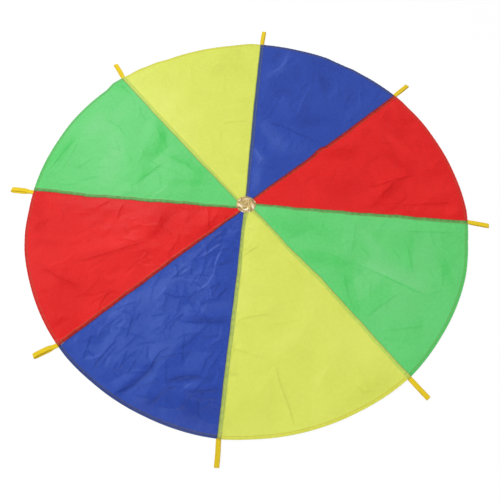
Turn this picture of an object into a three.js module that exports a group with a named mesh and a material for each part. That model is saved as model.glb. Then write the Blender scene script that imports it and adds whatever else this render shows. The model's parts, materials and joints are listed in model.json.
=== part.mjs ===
// A play parachute laid flat on the floor. Eight cloth gores are sewn into a circle with felled seams and a
// turned hem, a webbing handle comes out of the hem at each seam, and a gathered cap covers the hub.
// Millimetres, +Z up. The origin is on the floor under the hub. +X runs along the right-hand seam, and +Y
// away from the viewer. The canopy folds in half about the two seams that lie on the X axis.
import * as THREE from 'three';

// Canopy cloth
const CANOPY_RADIUS = 1000;
const HUB_HOLE_RADIUS = 12;
const CLOTH_THICKNESS = 1;
const SEAM_GAP = 0.4;
const LAYER_GAP = 0.3;

// Seams and hem, turned to the underside
const SEAM_ALLOWANCE = 16;
const HEM_WIDTH = 14;
const TURNED_THICKNESS = 1;

// Handles: a tail sewn into the hem, and a loop of doubled webbing
const WEB_WIDTH = 20;
const WEB_THICKNESS = 1.2;
const TAIL_LENGTH = 25;
const HINGE_REACH = 4.5;
const HINGE_CLEARANCE = 0.7;
const LOOP_LENGTH = 100;
const LOOP_OPENING = 6;
const LOOP_THROAT = 8;
const LOOP_RISE = 30;

// Hub cap
const CAP_RADIUS = 43;
const CAP_HEIGHT = 9;
const CAP_RIM = 3;
const CAP_GATHERS = 14;
const CAP_PUCKER = 0.9;
const CAP_SCALLOP = 1.2;

// Soft folds of the laid cloth: how far they keep from seams, hem and cap
const FOLD_FADE = 90;

// Facets
const GORE_RINGS = 13;
const GORE_RAYS = 13;
const HEM_STEPS = 12;
const CURVE_STEPS = 8;
const CAP_RINGS = 6;
const CAP_RAYS = 28;

// The eight seams in turn from +X: the azimuth as laid, the side of the seam to which its allowance is
// turned (+1 is counter-clockwise), and how far its handle lies turned from the seam's line. Angles in
// degrees.
const SEAMS = [
  { azimuth: 0, side: -1, swivel: -8 },
  { azimuth: 45, side: -1, swivel: 2 },
  { azimuth: 90, side: -1, swivel: -4 },
  { azimuth: 135, side: -1, swivel: -10 },
  { azimuth: 180, side: -1, swivel: -5 },
  { azimuth: 225, side: -1, swivel: -13 },
  { azimuth: 268.5, side: 1, swivel: 3 },
  { azimuth: 315, side: -1, swivel: 1 },
];

const LOOKS = {
  red: { color: '#d8262b', roughness: 0.5 },
  blue: { color: '#2f4aa3', roughness: 0.5 },
  yellow: { color: '#d9e25c', roughness: 0.5 },
  green: { color: '#4fc866', roughness: 0.5 },
  webbing: { color: '#e8bc16', roughness: 0.75 },
  gold: { color: '#c9a86a', roughness: 0.35 },
};

// The gores in turn: gore 1 lies between the first and the second seam.
const GORES = ['red', 'blue', 'yellow', 'green', 'red', 'blue', 'yellow', 'green'];

// Main folds of the cloth, as low ridges between two points given as shares of the canopy's radius. Height
// and half width are in millimetres.
const FOLDS = [
  { from: [0.08, 0.49], to: [0.32, 0.36], height: 6, width: 65 },
  { from: [0.21, 0.51], to: [0.26, 0.71], height: 3, width: 70 },
  { from: [-0.74, 0.46], to: [-0.58, 0.32], height: 4, width: 65 },
  { from: [-0.95, 0.12], to: [-0.84, 0.3], height: 6, width: 65 },
  { from: [-0.4, 0.26], to: [-0.52, 0.1], height: 5, width: 65 },
  { from: [-0.41, -0.87], to: [-0.28, -0.74], height: 8, width: 60 },
  { from: [-0.28, -0.74], to: [-0.21, -0.53], height: 7, width: 60 },
  { from: [-0.53, -0.75], to: [-0.45, -0.6], height: 6, width: 60 },
  { from: [-0.16, -0.47], to: [-0.08, -0.21], height: 4, width: 55 },
  { from: [0.05, -0.53], to: [0.28, -0.47], height: 5, width: 65 },
  { from: [0.16, -0.71], to: [0.26, -0.93], height: 5, width: 65 },
  { from: [0.41, -0.2], to: [0.8, -0.37], height: 6, width: 65 },
  { from: [0.65, -0.39], to: [0.54, -0.48], height: 4, width: 60 },
];

const FULL_TURN = 360;
const GORE_BOTTOM = TURNED_THICKNESS + LAYER_GAP;
const CAP_BOTTOM = GORE_BOTTOM + CLOTH_THICKNESS + LAYER_GAP;
const HANDLE_OFFSET = SEAM_GAP / 2 + WEB_WIDTH / 2;
const RIM_MARGIN = Math.max(TAIL_LENGTH, HEM_WIDTH) + LAYER_GAP;

const parachute = new THREE.Group();

const radians = THREE.MathUtils.degToRad;

function seamAngle(index) {
  const turns = Math.floor(index / SEAMS.length);
  return radians(SEAMS[index % SEAMS.length].azimuth + turns * FULL_TURN);
}

function addPiece(name, geometry, look, parent = parachute) {
  const material = new THREE.MeshStandardMaterial({ ...LOOKS[look], metalness: 0 });
  const mesh = new THREE.Mesh(geometry, material);
  mesh.name = name;
  parent.add(mesh);
  return mesh;
}

// A group whose X axis runs along a seam, outwards from the hub
function seamGroup(index) {
  const group = new THREE.Group();
  group.rotation.z = seamAngle(index);
  parachute.add(group);
  return group;
}

// A closed slab over a grid that runs outwards in rings and counter-clockwise in rays. surface gives a
// point's x, y, bottom and top. With a pole, the first ring is a single point.
function slab(rings, rays, surface, pole = false) {
  const points = [];
  const index = [];
  const grid = [];
  let count = 0;
  for (let i = 0; i <= rings; i += 1) {
    const row = [];
    for (let j = 0; j <= rays; j += 1) {
      if (pole && i === 0 && j > 0) {
        row.push(row[0]);
      } else {
        const p = surface(i / rings, j / rays);
        points.push(p.x, p.y, p.top, p.x, p.y, p.bottom);
        row.push(count);
        count += 1;
      }
    }
    grid.push(row);
  }
  const top = (i, j) => 2 * grid[i][j];
  const bottom = (i, j) => 2 * grid[i][j] + 1;
  for (let i = 0; i < rings; i += 1) {
    for (let j = 0; j < rays; j += 1) {
      index.push(top(i, j), top(i + 1, j), top(i + 1, j + 1));
      index.push(bottom(i, j), bottom(i + 1, j + 1), bottom(i + 1, j));
      if (!(pole && i === 0)) {
        index.push(top(i, j), top(i + 1, j + 1), top(i, j + 1));
        index.push(bottom(i, j), bottom(i, j + 1), bottom(i + 1, j + 1));
      }
    }
  }
  const wall = (i, j, k, l) => {
    index.push(bottom(i, j), bottom(k, l), top(k, l));
    index.push(bottom(i, j), top(k, l), top(i, j));
  };
  for (let i = 0; i < rings; i += 1) {
    wall(i, 0, i + 1, 0);
    wall(i + 1, rays, i, rays);
  }
  for (let j = 0; j < rays; j += 1) {
    wall(rings, j, rings, j + 1);
    if (!pole) wall(0, j + 1, 0, j);
  }
  const geometry = new THREE.BufferGeometry();
  geometry.setAttribute('position', new THREE.Float32BufferAttribute(points, 3));
  geometry.setIndex(index);
  geometry.computeVertexNormals();
  return geometry;
}

function flatPlate(shape, thickness, curveSegments = CURVE_STEPS) {
  return new THREE.ExtrudeGeometry(shape, { depth: thickness, bevelEnabled: false, curveSegments });
}

// Height of the cloth's main folds at a point of the canopy
function foldHeight(x, y) {
  let height = 0;
  for (const fold of FOLDS) {
    const from = new THREE.Vector2(...fold.from).multiplyScalar(CANOPY_RADIUS);
    const run = new THREE.Vector2(...fold.to).multiplyScalar(CANOPY_RADIUS).sub(from);
    const reach = new THREE.Vector2(x, y).sub(from);
    const share = THREE.MathUtils.clamp(reach.dot(run) / run.lengthSq(), 0, 1);
    const distance = reach.addScaledVector(run, -share).length();
    height = Math.max(height, fold.height * Math.exp(-((distance / fold.width) ** 2)));
  }
  return height;
}

// A sewn gore. It lies flat along its seams, hem and cap, and its folds rise between them.
function gore(index) {
  const start = seamAngle(index);
  const end = seamAngle(index + 1);
  return slab(GORE_RINGS, GORE_RAYS, (outward, across) => {
    const radius = THREE.MathUtils.lerp(HUB_HOLE_RADIUS, CANOPY_RADIUS, outward);
    const inset = Math.asin(SEAM_GAP / 2 / radius);
    const angle = THREE.MathUtils.lerp(start + inset, end - inset, across);
    const x = radius * Math.cos(angle);
    const y = radius * Math.sin(angle);
    const margins = [
      radius * Math.sin(angle - start),
      radius * Math.sin(end - angle),
      CANOPY_RADIUS - HEM_WIDTH - radius,
      radius - CAP_RADIUS,
    ];
    let fade = 1;
    for (const margin of margins) fade *= THREE.MathUtils.smoothstep(margin, 0, FOLD_FADE);
    const bottom = GORE_BOTTOM + fade * foldHeight(x, y);
    return { x, y, bottom, top: bottom + CLOTH_THICKNESS };
  });
}

// The allowances of a seam, folded together and stitched down under one gore, with the other gore's cloth
// outermost. They start where the two strips under the narrowest gore are clear of each other.
function seamStrip(index) {
  let narrowest = Math.PI;
  for (let i = 0; i < SEAMS.length; i += 1) {
    narrowest = Math.min(narrowest, seamAngle(i + 1) - seamAngle(i));
  }
  const inner = (SEAM_GAP / 2 + SEAM_ALLOWANCE + LAYER_GAP) / Math.sin(narrowest / 2);
  const outer = CANOPY_RADIUS - RIM_MARGIN;
  const strip = new THREE.BoxGeometry(outer - inner, SEAM_ALLOWANCE, TURNED_THICKNESS);
  const across = SEAMS[index].side * (SEAM_GAP / 2 + SEAM_ALLOWANCE / 2);
  return strip.translate((inner + outer) / 2, across, TURNED_THICKNESS / 2);
}

// A gore's rim, turned under. It leaves room for the handle tails that lie under the same gore.
function hem(index) {
  const tailRoom = SEAM_GAP / 2 + WEB_WIDTH + LAYER_GAP;
  const next = SEAMS[(index + 1) % SEAMS.length];
  const startInset = SEAMS[index].side > 0 ? tailRoom : SEAM_GAP / 2;
  const endInset = next.side < 0 ? tailRoom : SEAM_GAP / 2;
  const startAt = (radius) => seamAngle(index) + Math.asin(startInset / radius);
  const endAt = (radius) => seamAngle(index + 1) - Math.asin(endInset / radius);
  const inner = CANOPY_RADIUS - HEM_WIDTH;
  const shape = new THREE.Shape();
  shape.absarc(0, 0, CANOPY_RADIUS, startAt(CANOPY_RADIUS), endAt(CANOPY_RADIUS), false);
  shape.absarc(0, 0, inner, endAt(inner), startAt(inner), true);
  return flatPlate(shape, TURNED_THICKNESS, HEM_STEPS);
}

// The handle's sewn-in end, along the seam. Its outer end is cut along the loop's hinge line.
function handleTail(index) {
  const { side, swivel } = SEAMS[index];
  const middle = side * HANDLE_OFFSET;
  const turn = radians(swivel);
  const setback = WEB_THICKNESS + HINGE_CLEARANCE;
  const outerEnd = (across) => (
    CANOPY_RADIUS + HINGE_REACH - (setback + across * Math.sin(turn)) / Math.cos(turn)
  );
  const half = WEB_WIDTH / 2;
  const shape = new THREE.Shape();
  shape.moveTo(CANOPY_RADIUS - TAIL_LENGTH, middle - half);
  shape.lineTo(outerEnd(-half), middle - half);
  shape.lineTo(outerEnd(half), middle + half);
  shape.lineTo(CANOPY_RADIUS - TAIL_LENGTH, middle + half);
  return flatPlate(shape, TURNED_THICKNESS);
}

// The handle's free loop, seen from its side: both layers lie together at the rounded root, the upper one
// rises over the hand's opening, and the webbing turns round at the tip. X runs outwards from the hinge
// line.
function handleLoop() {
  const height = LOOP_OPENING + 2 * WEB_THICKNESS;
  const tip = LOOP_LENGTH - height / 2;
  const risen = LOOP_THROAT + LOOP_RISE;
  const midRise = LOOP_THROAT + LOOP_RISE / 2;
  const shape = new THREE.Shape();
  shape.moveTo(0, 0);
  shape.lineTo(tip, 0);
  shape.absarc(tip, height / 2, height / 2, -Math.PI / 2, Math.PI / 2, false);
  shape.lineTo(risen, height);
  shape.bezierCurveTo(midRise, height, midRise, 2 * WEB_THICKNESS, LOOP_THROAT, 2 * WEB_THICKNESS);
  shape.lineTo(0, 2 * WEB_THICKNESS);
  shape.absarc(0, WEB_THICKNESS, WEB_THICKNESS, Math.PI / 2, 1.5 * Math.PI, false);
  const ceiling = height - WEB_THICKNESS;
  const opening = new THREE.Path();
  opening.moveTo(LOOP_THROAT, WEB_THICKNESS);
  opening.lineTo(tip, WEB_THICKNESS);
  opening.absarc(tip, height / 2, LOOP_OPENING / 2, -Math.PI / 2, Math.PI / 2, false);
  opening.lineTo(risen, ceiling);
  opening.bezierCurveTo(midRise, ceiling, midRise, WEB_THICKNESS, LOOP_THROAT, WEB_THICKNESS);
  shape.holes.push(opening);
  return flatPlate(shape, WEB_WIDTH).rotateX(Math.PI / 2).translate(0, WEB_WIDTH / 2, 0);
}

// One half of the gathered cap, from the fold line to its far rim: a low dome drawn into radial puckers
function capHalf() {
  return slab(CAP_RINGS, CAP_RAYS, (outward, around) => {
    const angle = Math.PI * around;
    const gather = Math.cos(CAP_GATHERS * angle);
    const radius = outward * (CAP_RADIUS + CAP_SCALLOP * outward * gather);
    const crown = (CAP_HEIGHT - CAP_RIM - CAP_PUCKER) * Math.sqrt(1 - outward ** 2);
    const pucker = CAP_PUCKER * outward * gather;
    const x = radius * Math.cos(angle);
    const y = SEAM_GAP / 2 + radius * Math.sin(angle);
    return { x, y, bottom: CAP_BOTTOM, top: CAP_BOTTOM + CAP_RIM + crown + pucker };
  }, true);
}

GORES.forEach((colour, index) => {
  addPiece(`gore_${index + 1}_${colour}`, gore(index), colour);
  addPiece(`hem_${index + 1}`, hem(index), colour);
});

SEAMS.forEach(({ side, swivel }, index) => {
  const along = seamGroup(index);
  const outermost = GORES[(index + (side < 0 ? 0 : GORES.length - 1)) % GORES.length];
  addPiece(`seam_${index + 1}`, seamStrip(index), outermost, along);
  addPiece(`handle_${index + 1}_tail`, handleTail(index), 'webbing', along);
  const hinge = new THREE.Group();
  hinge.position.set(CANOPY_RADIUS + HINGE_REACH, side * HANDLE_OFFSET, 0);
  hinge.rotation.z = radians(swivel);
  along.add(hinge);
  addPiece(`handle_${index + 1}_loop`, handleLoop(), 'webbing', hinge);
});

addPiece('hub_cap_far_half', capHalf(), 'gold');
addPiece('hub_cap_near_half', capHalf(), 'gold').rotation.z = Math.PI;

export default parachute;
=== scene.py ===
import json
import math
import random
from collections import namedtuple

import bpy
import numpy as np
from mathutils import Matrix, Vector, noise
from mathutils.bvhtree import BVHTree
from mathutils.geometry import delaunay_2d_cdt


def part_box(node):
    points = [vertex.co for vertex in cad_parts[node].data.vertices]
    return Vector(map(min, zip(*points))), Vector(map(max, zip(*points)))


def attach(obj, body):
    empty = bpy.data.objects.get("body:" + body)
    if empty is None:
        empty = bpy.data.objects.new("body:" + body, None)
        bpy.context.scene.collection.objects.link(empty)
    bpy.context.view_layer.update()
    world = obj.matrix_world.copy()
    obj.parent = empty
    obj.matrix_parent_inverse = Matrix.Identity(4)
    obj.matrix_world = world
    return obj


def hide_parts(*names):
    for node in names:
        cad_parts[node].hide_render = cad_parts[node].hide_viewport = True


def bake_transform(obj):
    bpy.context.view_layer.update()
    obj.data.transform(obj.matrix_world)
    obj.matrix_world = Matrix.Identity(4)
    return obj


# A play parachute laid flat on a white floor, seen from above and in front. Metres, +Z up, as in the frame.

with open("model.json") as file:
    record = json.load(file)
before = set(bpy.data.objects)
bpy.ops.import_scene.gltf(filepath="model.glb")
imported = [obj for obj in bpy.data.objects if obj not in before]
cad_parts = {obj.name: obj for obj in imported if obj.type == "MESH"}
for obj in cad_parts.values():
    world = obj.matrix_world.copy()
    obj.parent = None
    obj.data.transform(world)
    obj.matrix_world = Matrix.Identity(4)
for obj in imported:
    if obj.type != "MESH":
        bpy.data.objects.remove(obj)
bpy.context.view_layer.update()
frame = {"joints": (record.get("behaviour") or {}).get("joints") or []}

MM = 0.001
# Where the light comes from, seen from above
LIGHT_FROM = (-0.8, 0.6)

# Canopy: its rim and the hole under the cap, the cloth's upper side and thickness, the hem, how soft the
# edges of bands show, and how far the painted shade beside a seam reaches
CANOPY_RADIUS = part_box("hem_1")[1].x
HUB_HOLE = 20 * MM
CLOTH_TOP = 3.2 * MM
CLOTH_THICKNESS = 0.35 * MM
HEM_WIDTH = 14 * MM
EDGE_SOFTNESS = 1.2 * MM
PAINTED_SEAM_SHADE_REACH = 3 * MM

# The folded allowances at a seam: their width, its share at the hub and where it grows to the full width, how
# far they lift the cloth, where they start, and how far below the cloth's upper side they lie
SEAM_BAND = 16 * MM
BAND_WIDENS = (0.72, 60 * MM, 380 * MM)
BAND_LIFT = 0.6 * MM
SEAM_STRIP_START = 45 * MM
SEAM_STRIP_SINK = 0.5 * MM
TURNED_THICKNESS = 0.5 * MM

# Handles: the strap and its tail, the loop's throat, rise and turn, how far it bows, and where its layers
# slip apart
WEB_WIDTH = 20 * MM
WEB_THICKNESS = 1.2 * MM
WEB_GAP = 0.2 * MM
WEB_STEP = 2.5 * MM
TAIL_LENGTH = 25 * MM
TAIL_LIFT = 1.1 * MM
WEB_EDGE = (WEB_WIDTH / 2 - 2.2 * MM, WEB_WIDTH / 2 - 0.6 * MM)
LOOP_THROAT = 8 * MM
LOOP_RISE = 30 * MM
LOOP_TURN = 14 * MM
LOOP_BOW = 1.2 * MM
SLIP_GROWS = (-2 * MM, 22 * MM)

# How each handle lies: millimetres counter-clockwise of its place, degrees turned counter-clockwise, free
# length in millimetres, millimetres by which its upper layer lies counter-clockwise of the lower one, height
# of the loop in millimetres, and how light its strap is painted: painted light and shade for how brightly
# each strap is lit
Lie = namedtuple("Lie", "shift turn length slip height tone")
LIES = [
    Lie(4.5, 0, 92, 3, 3.6, 1.0),
    Lie(7.5, -0.5, 96, 3, 3.4, 0.97),
    Lie(2.5, 0.5, 100, 3.5, 3.4, 0.97),
    Lie(-4.5, -1.5, 103, -4, 3.8, 1.0),
    Lie(10, 2.5, 86, -9.5, 4.0, 1.02),
    Lie(3.5, 0, 87, -7.5, 4.8, 0.96),
    Lie(-4, 0, 96, 0.5, 3.6, 0.86),
    Lie(-3.5, -2.5, 104, 1, 3.6, 0.96),
]

# Hub cap: its place, size as laid and as cut, height, mesh, pleats, crumples and folds
CAP_CENTRE = np.array([2, 8]) * MM
CAP_RADIUS = 45 * MM
CAP_BASE = 2.4 * MM
CAP_CROWN = 5.6 * MM
CAP_THICKNESS = 0.4 * MM
CAP_RINGS, CAP_RAYS = 44, 192
CAP_PLEATS = 21
CAP_PLEAT_RISE = 1.7 * MM
CAP_CRUSH = 13 * MM
CAP_CRUSH_RISE = 1.8 * MM
CAP_FOLD_RISE = 1.3 * MM
CAP_FOLD_DROP = 1.5 * MM
UNDER_CAP = (HUB_HOLE, CAP_RADIUS)
# Its folds: width in millimetres, below zero for a sunk fold, and points in millimetres from the cap's middle
CAP_FOLDS = [
    (4.5, [(-35, -2), (-28, -9), (-15, -16)]),
    (4, [(-14, -30), (0, -29), (14, -23)]),
    (4.5, [(29, 0), (33, -12), (37, -24)]),
    (3.5, [(-34, 16), (-28, 22)]),
    (3, [(36, 22), (41, 14)]),
    (3, [(14, -37), (20, -38)]),
    (2.5, [(-20, -39), (-8, -41)]),
    (2.5, [(-8, 24), (4, 29), (14, 27)]),
    (-2.5, [(-37, -14), (-24, -26), (-8, -35)]),
    (-3, [(-18, -20), (-4, -22), (8, -14)]),
    (-3, [(16, 18), (19, 8), (16, -2)]),
    (-2.5, [(22, -12), (26, -24), (24, -34)]),
    (-2.5, [(-26, 2), (-12, 10), (-2, 20)]),
    (-2.5, [(-36, 6), (-24, 14), (-20, 28)]),
    (-2.5, [(-6, -8), (6, -2), (8, 8)]),
    (-2.5, [(22, 26), (30, 18), (40, 4)]),
]

# Thread: the stitches of seams and hems, the bar tacks, and how far the stitch tint spreads on the cloth
# (thread colour and painted shade)
STITCH_PITCH = 5 * MM
STITCH_LENGTH = 3.9 * MM
STITCH_INSET = 2.2 * MM
SEAM_THREAD = 0.6 * MM
HEM_THREAD = 0.9 * MM
THREAD_HEIGHT = 0.45 * MM
HEM_STITCH_DEPTH = 10.5 * MM
TACK_INSET = 4 * MM
TACK_PITCH = 0.9 * MM
TACK_LENGTH = 2.8 * MM
TACK_LEAN = 0.35 * MM
STITCH_TINT = 1.6 * MM

# Mesh spacing, and the distances in millimetres of the rows of points: from a seam on the fold line, from a
# seam over its allowances and on its other side, within the allowances, from the rim, and from a crease
FILL = 7 * MM
EDGE = 5 * MM
FOLD_ROWS = [1.2, 3, 5.5, 8, 10.5, 12.5, 14.2, 16, 17.2, 20, 22.5, 25, 27.5]
BAND_ROWS = [1.2, 2.6, 4.4, 9, 12, 13.8, 16, 17.2, 21]
PLAIN_ROWS = [2, 6]
STRIP_ROWS = [0.4, 4, 8, 12, 15.6]
HEM_ROWS = [1, 7, 12.4, 14]
CREASE_ROWS = [0, 2.2, -2.2, 5, -5, 9, -9]

# The seams in turn from +X, as laid: azimuth in degrees, the side to which the allowance is turned, how much
# the sewn line wavers, and how many millimetres it lies counter-clockwise of that azimuth at each station
Seam = namedtuple("Seam", "azimuth side waver shifts")
STATIONS = (0.1, 0.3, 0.5, 0.7, 0.95)
SEAMS = [
    Seam(0.0, -1, 1.0, (14, 9, 6, 4, -1)),
    Seam(45.0, -1, 0.4, (8, 5, 1, -1, 0)),
    Seam(90.0, -1, 0.3, (3, 4, 4, 3, -1)),
    Seam(135.0, -1, 0.5, (11, 10, 7, 3, -5)),
    Seam(180.0, -1, 1.2, (15, 13, 10, 8, -5)),
    Seam(225.0, -1, 0.6, (9, 5, 5, 5, 4)),
    Seam(268.5, 1, 0.3, (-5, -2, -1, -2, 0)),
    Seam(315.0, -1, 0.6, (17, 12, 16, 6, -4)),
]
COUNT = len(SEAMS)
FOLD_SEAMS = (0, 4)
# One seam has a small kink where a crease of the cloth meets it: it bends out slowly and comes back at once
KINK_SEAM = 1
KINK = 9 * MM
KINK_PLACE = 0.485
KINK_RISE = 0.05
KINK_DROP = 0.014
# How the seams waver: millimetres to either side and how fast, and the shares of the radius where it fades
SEAM_WAVERS = [(1.2, 21), (1.0, 47), (0.6, 103)]
WAVER_FADE = (0.97, 0.85)

# The gores in turn: colour, height in millimetres of the facets the cloth lies in, how strongly its crease
# lines of painted shade and painted highlight show, and its small creases: how many, how long at most and
# how high in millimetres, and the direction in degrees of most of them
Gore = namedtuple("Gore", "colour facets lines creases longest rise direction")
GORES = [
    Gore("red", 3.5, 1.4, 40, 190, 0.9, 20),
    Gore("blue", 4.5, 1.3, 80, 180, 1.3, 110),
    Gore("yellow", 1.7, 1.3, 25, 190, 0.4, 80),
    Gore("green", 3.0, 2.1, 50, 180, 0.6, 130),
    Gore("red", 4.0, 1.8, 45, 200, 1.0, 25),
    Gore("blue", 6.0, 2.0, 150, 180, 2.0, 60),
    Gore("yellow", 2.2, 1.3, 30, 190, 0.5, 90),
    Gore("green", 3.2, 1.7, 50, 180, 0.6, 150),
]

# How the rim lies: azimuth in degrees, and millimetres outside or inside the true circle
RIM = [
    (3, 4), (15, -3), (27, -6), (33, -4), (39, -5), (42, -2), (57, -6), (60, -4), (63, -7), (66, -5), (69, 1),
    (78, 0), (87, 3), (93, 7), (99, -4), (120, -13), (123, -6), (126, -6), (129, -1), (132, -3), (138, 3),
    (141, -10), (156, -11), (162, -15), (186, -15), (192, -10), (198, -8), (207, -11), (228, -8), (237, -11),
    (252, -8), (264, -1), (270, 1), (276, -2), (300, -1), (315, 6), (327, 1), (345, 3), (354, -2),
]
RIM_REACH = (0.6 * CANOPY_RADIUS, 0.97 * CANOPY_RADIUS)

# Small waves where stitching draws the cloth in: height, length of a wave, and how soon they fade. Those of
# the seams start outside the cap, and around it the cloth is gathered.
SEAM_PUCKER = (0.45 * MM, 17 * MM, 13 * MM)
HEM_PUCKER = (0.5 * MM, 21 * MM, 12 * MM)
PUCKER_START = (60 * MM, 150 * MM)
HUB_GATHER = 0.9 * MM
HUB_GATHER_FADE = 55 * MM

# The relief of the laid cloth: its greatest height, the shares of coarse and fine facets and of ripples, and
# how strongly the coarse facets' lean to the light is painted into the colour as painted light and shade. It
# is lower at a seam, at the rim and at the hub: the share left there, and from where to where it grows to its
# full height. The painted lines and facet tones start clear of the seams and of the hem.
RELIEF_MOST = 8.5 * MM
COARSE_SHARE = 0.6
FINE_SHARE = 0.4
RIPPLE_SHARE = 0.16
RIPPLE_SCALE = 16
FACET_PAINTED_LIGHT = 2.8
SEAM_CALM = (0.4, 0, 60 * MM)
RIM_CALM = (0.35, 0, 50 * MM)
HUB_CALM = (0.1, 30 * MM, 120 * MM)
LINES_FROM_SEAM = (2 * MM, 25 * MM)
LINES_FROM_RIM = (HEM_WIDTH, 40 * MM)

# Creases of the laid cloth: how far their steep and their gentle side reach, over what share of their length
# they taper at each end, the steps of a small one, and their line, painted dark as shade or light as a
# highlight: its width, how strongly it shows at most, and the height in millimetres for full strength
CREASE_STEEP = 10 * MM
CREASE_GENTLE = 50 * MM
CREASE_TAPER = 0.25
CREASE_STEPS = 4
LINE_WIDTH = 3 * MM
LINE_MOST = 0.55
LINE_HEIGHT = 5.5
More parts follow.
